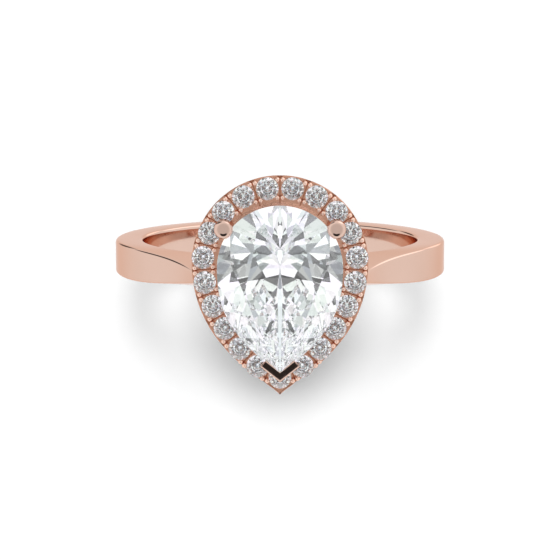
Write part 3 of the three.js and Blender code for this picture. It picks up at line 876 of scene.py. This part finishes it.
def add_halo():
    hole = STONE.inset(HALO_INSET)
    rounded = [
        (0.0, HALO_BOTTOM + HALO_EDGE),
        (0.0, HALO_FLOOR - HALO_EDGE),
        (HALO_EDGE_BEND * HALO_EDGE, HALO_FLOOR - HALO_EDGE_BEND * HALO_EDGE),
        (HALO_EDGE, HALO_FLOOR),
        (HALO_EDGE + HALO_FLAT, HALO_FLOOR),
    ]
    loops = [HALO_RIM.inset(inset).loop(HALO_STEPS, z) for inset, z in rounded]
    loops += [hole.loop(HALO_STEPS, HALO_FLOOR), hole.loop(HALO_STEPS, HALO_BOTTOM)]
    loops.append(HALO_RIM.inset(HALO_EDGE).loop(HALO_STEPS, HALO_BOTTOM))
    plate = mesh_object("halo_setting", *loops_shell(loops))
    minus(plate, [melee_seats(), grooves(), stone_room()])
    beads = merged("beads", [bead(at) for at in bead_places()])
    minus(beads, [melee_seats()])
    work = bmesh.new()
    work.from_mesh(plate.data)
    work.from_mesh(beads.data)
    work.to_mesh(plate.data)
    work.free()
    bpy.data.objects.remove(beads)
    smooth_by_angle(plate, SHARP_DEG)
    dress(plate, SETTING_PAINTED_SHADING, "rose_gold", "halo")


# ---------------------------------------------------------------- claws

def claw_azimuth():
    """From the centre of the round end, through the halo gap nearest to the wanted direction."""
    wanted = math.radians(CLAW_AZIMUTH_DEG)
    directions = []
    for after in range(1, len(MELEE) // 2 + 1):
        gap = MELEE_LINE.at(after / len(MELEE))
        directions.append(math.atan2(gap.y - STONE.centre_y, gap.x))
    return min(directions, key=lambda direction: abs(direction - wanted))


def claw_at(side):
    azimuth = claw_azimuth()
    out = STONE.radius + CLAW_OUTSET + CLAW_HEAD_SHIFT
    return Vector((side * out * math.cos(azimuth), STONE.centre_y + out * math.sin(azimuth)))


def claw_shells(side):
    azimuth = claw_azimuth()
    gallery_low, gallery_high = box_mm("gallery_rail")
    top = box_mm("claw_left")[1].z
    bottom = top - CLAW_HEAD_HEIGHT
    upright = STONE.radius + CLAW_OUTSET
    at_base = STONE.radius - BASE_INSET + CLAW_WIRE - CLAW_BITE
    at_gallery = STONE.radius - GALLERY_INSET + CLAW_WIRE - CLAW_BITE
    knots = [
        (at_base, rail_low.z),
        (at_base + CLAW_LEAN, rail_high.z),
        (at_gallery, (gallery_low.z + gallery_high.z) / 2),
        (upright, HALO_BOTTOM),
        (upright, bottom + CLAW_ROOT),
    ]
    points = [
        Vector((side * out * math.cos(azimuth), STONE.centre_y + out * math.sin(azimuth), z))
        for out, z in knots
    ]
    wire = tube(spline(points, CLAW_SPLINE_STEPS), CLAW_WIRE, CLAW_WIRE_STEPS)
    head = claw_at(side)
    crown = [(CLAW_FLAT_SHARE * CLAW_HEAD, top), (CLAW_SLOPES[0][0], top)]
    for (inner, inner_deg), (outer, outer_deg) in zip(CLAW_SLOPES, CLAW_SLOPES[1:]):
        fall = (outer - inner) * math.tan(math.radians((inner_deg + outer_deg) / 2))
        crown.append((outer, crown[-1][1] - fall))
    profile = [(CLAW_HEAD - CLAW_FOOT, bottom), (CLAW_HEAD, bottom + CLAW_FOOT), *reversed(crown)]
    return [wire, lathe(profile, CLAW_HEAD_STEPS, head.x, head.y)]


def add_claws():
    for side, name, node in ((-1, "prong_left", "claw_left"), (1, "prong_right", "claw_right")):
        made = merged(name, claw_shells(side))
        minus(made, [stone_room()])
        smooth_by_angle(made, CLAW_SHARP_DEG)
        dress(made, POLISHED, "rose_gold", node)


def v_outline(apex_y, arm, width):
    angle = math.radians(V_HALF_DEG)
    along = Vector((math.sin(angle), math.cos(angle)))
    inward = Vector((-math.cos(angle), math.sin(angle)))
    end = Vector((0, apex_y)) + arm * along
    inner = end + width * inward
    return [
        Vector((0, apex_y)),
        end,
        inner,
        Vector((0, apex_y + width / math.sin(angle))),
        Vector((-inner.x, inner.y)),
        Vector((-end.x, end.y)),
    ]


def v_cap(bottom, top):
    """The V over the point of the stone: a rolled edge all round, and a top that slopes down to its apex."""
    sine = math.sin(math.radians(V_HALF_DEG))
    apex = STONE.tip_y - V_OUTSET
    slope = math.tan(math.radians(V_SLOPE_DEG))
    highest = apex + V_ARM * math.cos(math.radians(V_HALF_DEG)) + V_WIDTH * sine
    loops = []
    stations = [(V_RIM, 0.0, False), (0.0, V_RIM, False)]
    for k in range(V_RIM_STEPS + 1):
        angle = math.pi / 2 * k / V_RIM_STEPS
        stations.append((V_RIM * (1 - math.cos(angle)), -V_RIM * (1 - math.sin(angle)), True))
    for inset, lift, sloped in stations:
        flat = v_outline(apex + inset / sine, V_ARM - inset, V_WIDTH - 2 * inset)
        loop = []
        for p in flat:
            z = top - slope * (highest - p.y) + lift if sloped else bottom + lift
            loop.append(Vector((p.x, p.y, z)))
        loops.append(loop)
    return loops_shell(loops, closed=False)


def v_block(apex_y, arm, width, bottom, height):
    flat = v_outline(apex_y, arm, width)
    loops = [[Vector((p.x, p.y, z)) for p in flat] for z in (bottom, bottom + height)]
    return loops_shell(loops, closed=False)


def add_v_claw():
    sine = math.sin(math.radians(V_HALF_DEG))
    gallery_low, _ = box_mm("gallery_rail")
    top = box_mm("v_claw")[1].z
    bottom = top - CLAW_HEAD_HEIGHT
    stem_apex = MELEE_TIP_Y + MELEE_RADIUS + 2 * SEAT_CLEARANCE
    apex = STONE.tip_y - V_OUTSET
    ledge_width = (stem_apex - apex) * sine + V_STEM_WALL
    middle_y = stem_apex + V_STEM_WALL
    middle_z = (rail_low.z + rail_high.z) / 2
    base_tip = STONE.inset(BASE_INSET).tip_y + CLAW_BITE
    leg = [
        Vector((0, middle_y, gallery_low.z + V_LEG_RISE)),
        Vector((0, middle_y, middle_z)),
        Vector((0, base_tip, middle_z)),
    ]
    shells = [
        v_cap(bottom, top),
        v_block(apex + V_RIM / sine, V_ARM - V_STEM_WALL, ledge_width, bottom + V_LEDGE_LIFT, V_LEDGE),
        v_block(stem_apex, V_STEM_ARM, V_STEM_WALL, gallery_low.z, bottom + V_LEDGE - gallery_low.z),
        tube([bezier(leg, k / V_LEG_STEPS) for k in range(V_LEG_STEPS + 1)], V_LEG, V_LEG_SIDES),
    ]
    made = merged("prong_v", shells)
    minus(made, [stone_room()])
    smooth_by_angle(made, SHARP_DEG)
    dress(made, POLISHED, "rose_gold", "v_claw")


# ---------------------------------------------------------------- stage and light

FLOOR_SIZE = 6.0
FLOOR_WHITE = 0.93
FLOOR_DRIFT = 0.01
FLOOR_GRAIN = 900.0
FLOOR_ROUGHNESS = 0.9


def add_floor():
    half = FLOOR_SIZE / 2 / MM
    z = shank_low.z
    corners = [Vector((x * half, y * half, z)) for x, y in ((-1, -1), (1, -1), (1, 1), (-1, 1))]
    floor = mesh_object("floor", corners, [(0, 1, 2, 3)])
    look, nodes = material("floor_paper")
    place = nodes.add("ShaderNodeTexCoord").outputs["Object"]
    grain = nodes.add("ShaderNodeTexNoise", Vector=place, Scale=FLOOR_GRAIN, Detail=3.0).outputs["Fac"]
    white = (FLOOR_WHITE,) * 3
    colour = ramp(nodes, grain, [(0.3, (FLOOR_WHITE - FLOOR_DRIFT,) * 3), (0.7, white)])
    shader = nodes.add("ShaderNodeBsdfPrincipled", Base_Color=colour, Roughness=FLOOR_ROUGHNESS)
    nodes.put(shader, "Specular IOR Level", 0.0)
    nodes.add("ShaderNodeOutputMaterial", Surface=shader.outputs["BSDF"])
    floor.data.materials.append(look)
    floor.visible_transmission = False
    floor.visible_glossy = False


# Panels of the studio dome: direction, half-angle and softness in degrees, brightness.
PANELS = [
    ((0.0, 0.0, 1.0), 30, 22, 0.68),
    ((0.0, -0.5, 0.87), 15, 2, 0.03),
    ((-0.44, 0.34, -0.83), 10, 4, 0.1),
    ((-0.585, 0.675, -0.447), 15, 4, 0.1),
    ((-0.49, 0.86, -0.14), 18, 6, 0.1),
    ((0.44, 0.34, -0.83), 10, 4, 1.6),
    ((0.585, 0.675, -0.447), 15, 4, 1.6),
    ((0.49, 0.86, -0.14), 18, 6, 1.6),
]
DOME_LIGHT = 0.97
DOME_FILL = 0.24  # share of the dome's light that reaches matt surfaces

# The dome that the stones show: small panels of many greys, and the dark of the viewer's head over them.
GEM_CELLS = 5.0
GEM_SHIFT = (0.3, 0.2, 0.1)
GEM_GREYS = [(0.0, 0.0), (0.15, 0.02), (0.2, 0.42), (0.36, 0.7), (0.55, 1.05), (1.0, 1.45)]
GEM_TINT = 0.14
GEM_COOL = (0.93, 0.97, 1.0, 1)
GEM_HEAD = ((0.0, 0.06, 1.0), 8, 3, 0.45)


def panel(nodes, unit, level, direction, half_deg, soft_deg, bright):
    """The dome with a round panel over it."""
    dot = nodes.add("ShaderNodeVectorMath", {"operation": "DOT_PRODUCT"})
    nodes.put(dot, "0", unit)
    nodes.put(dot, "1", Vector(direction).normalized())
    edge = nodes.add("ShaderNodeMapRange", {"interpolation_type": "SMOOTHSTEP"}, Value=dot.outputs["Value"])
    nodes.put(edge, "From Min", math.cos(math.radians(half_deg + soft_deg)))
    nodes.put(edge, "From Max", math.cos(math.radians(half_deg - soft_deg)))
    mix = nodes.add("ShaderNodeMix", {"data_type": "FLOAT"})
    nodes.put(mix, "0", edge.outputs["Result"])
    nodes.put(mix, "2", level)
    nodes.put(mix, "3", bright)
    return mix.outputs[0]


def colour_mix(nodes, kind, factor, a, b):
    mix = nodes.add("ShaderNodeMix", {"data_type": "RGBA", "blend_type": kind})
    for index, value in (("0", factor), ("6", a), ("7", b)):
        nodes.put(mix, index, value)
    return mix.outputs[2]


def add_world():
    world = bpy.data.worlds.new("studio")
    bpy.context.scene.world = world
    world.use_nodes = True
    nodes = Nodes(world.node_tree)
    place = nodes.add("ShaderNodeTexCoord").outputs["Generated"]
    normalise = nodes.add("ShaderNodeVectorMath", {"operation": "NORMALIZE"})
    nodes.put(normalise, "0", place)
    unit = normalise.outputs["Vector"]
    level = DOME_LIGHT
    for facts in PANELS:
        level = panel(nodes, unit, level, *facts)
    paths = nodes.add("ShaderNodeLightPath")
    matt = paths.outputs["Is Diffuse Ray"]
    fill = nodes.add("ShaderNodeMapRange", Value=matt, To_Min=1.0, To_Max=DOME_FILL)
    dome = nodes.add("ShaderNodeMath", {"operation": "MULTIPLY"})
    nodes.put(dome, "0", level)
    nodes.put(dome, "1", fill.outputs["Result"])

    parts = nodes.add("ShaderNodeSeparateXYZ", Vector=unit)
    sideways = nodes.add("ShaderNodeMath", {"operation": "ABSOLUTE"}, Value=parts.outputs["X"])
    mirrored = nodes.add(
        "ShaderNodeCombineXYZ", X=sideways.outputs["Value"], Y=parts.outputs["Y"], Z=parts.outputs["Z"]
    ).outputs["Vector"]
    turned = nodes.add("ShaderNodeMapping", Vector=mirrored, Location=GEM_SHIFT).outputs["Vector"]
    cells = nodes.add("ShaderNodeTexVoronoi", Vector=turned, Scale=GEM_CELLS).outputs["Color"]
    chance = nodes.add("ShaderNodeSeparateColor", Color=cells).outputs["Red"]
    greys = ramp(nodes, chance, [(at, (grey,) * 3) for at, grey in GEM_GREYS])
    tinted = colour_mix(nodes, "MIX", GEM_TINT, GEM_COOL, cells)
    gem = colour_mix(nodes, "MULTIPLY", 1.0, greys, tinted)
    head = panel(nodes, unit, 1.0, *GEM_HEAD)
    gem = colour_mix(nodes, "MULTIPLY", 1.0, gem, head)
    seen = colour_mix(nodes, "MIX", paths.outputs["Is Transmission Ray"], dome.outputs["Value"], gem)
    back = nodes.add("ShaderNodeBackground", Color=seen, Strength=1.0)
    nodes.add("ShaderNodeOutputWorld", Surface=back.outputs["Background"])


# Soft overhead lights: name, tilt and softness in degrees, strength, and which pieces throw its shadow.
KEYS = [
    ("key_head", 13, 12, 2.1, lambda name: name != "band"),
    ("key_band", 25, 13, 1.0, lambda name: name == "band"),
]


def add_keys():
    pieces = [obj for obj in bpy.context.scene.objects if obj.type == "MESH" and obj.name != "floor"]
    for name, tilt_deg, soft_deg, strength, throws in KEYS:
        data = bpy.data.lights.new(name, "SUN")
        data.angle = math.radians(soft_deg)
        data.energy = strength
        key = bpy.data.objects.new(name, data)
        key.rotation_euler = (-math.radians(tilt_deg), 0, 0)
        key.visible_glossy = False
        key.visible_transmission = False
        bpy.context.scene.collection.objects.link(key)
        blockers = bpy.data.collections.new(name + "_blockers")
        for obj in pieces:
            if throws(obj.name):
                blockers.objects.link(obj)
        key.light_linking.blocker_collection = blockers


PATH_BOUNCES = 48


def set_light_paths():
    scene = bpy.context.scene
    scene.view_settings.view_transform = "Standard"
    cycles = scene.cycles
    cycles.max_bounces = PATH_BOUNCES
    cycles.transmission_bounces = PATH_BOUNCES
    cycles.glossy_bounces = PATH_BOUNCES
    cycles.caustics_reflective = False
    cycles.caustics_refractive = False


add_shank()
add_rails()
add_halo()
add_claws()
add_v_claw()
add_stones()
add_floor()
add_world()
add_keys()
set_light_paths()
